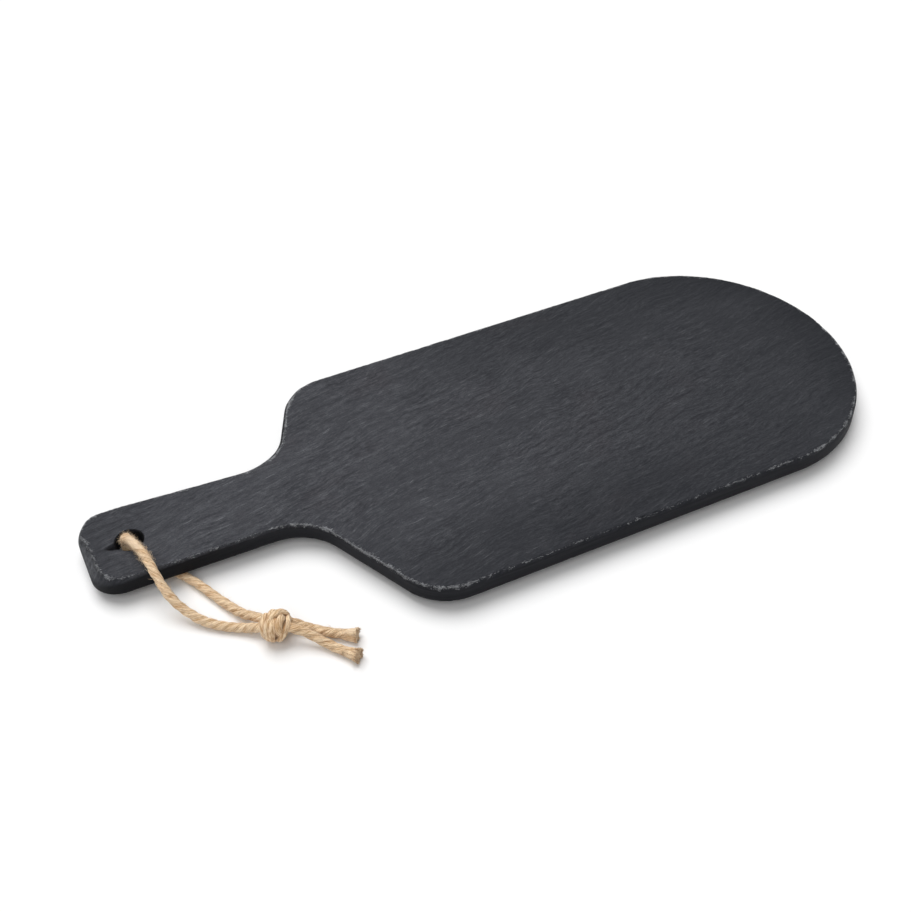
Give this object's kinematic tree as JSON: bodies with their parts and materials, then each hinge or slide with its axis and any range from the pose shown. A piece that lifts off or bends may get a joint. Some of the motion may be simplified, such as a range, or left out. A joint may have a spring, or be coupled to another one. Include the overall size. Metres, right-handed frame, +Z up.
{
  "type": "slate serving board",
  "caption": "Paddle-shaped slate serving board with a rounded end, an off-centre handle, small rubber feet and a knotted jute hanging loop through the handle.",
  "frame": {"origin": "centre of the bottom of the board's bounding box, on the surface that the feet stand on", "axes": "+X along the board from the handle to the rounded end, +Y to the board's left seen from the handle, +Z up"},
  "size_m": [0.393, 0.1693, 0.0182],
  "materials": {
    "slate": "natural riven slate, matt with a faint sheen, chipped edges",
    "foot_rubber": "moulded black rubber, matt",
    "adhesive": "double-sided acrylic foam tape",
    "jute": "three-strand natural jute, fibrous"
  },
  "bodies": {
    "root": {"slate_board": "slate", "foot_left_shoulder": "foot_rubber", "foot_right_shoulder": "foot_rubber", "foot_left_tip": "foot_rubber", "foot_right_tip": "foot_rubber", "adhesive_disc_left_shoulder": "adhesive", "adhesive_disc_right_shoulder": "adhesive", "adhesive_disc_left_tip": "adhesive", "adhesive_disc_right_tip": "adhesive", "cord_upper_leg": "jute", "cord_lower_leg": "jute", "cord_knot": "jute", "cord_tail_left": "jute", "cord_tail_right": "jute"}
  },
  "joints": []
}
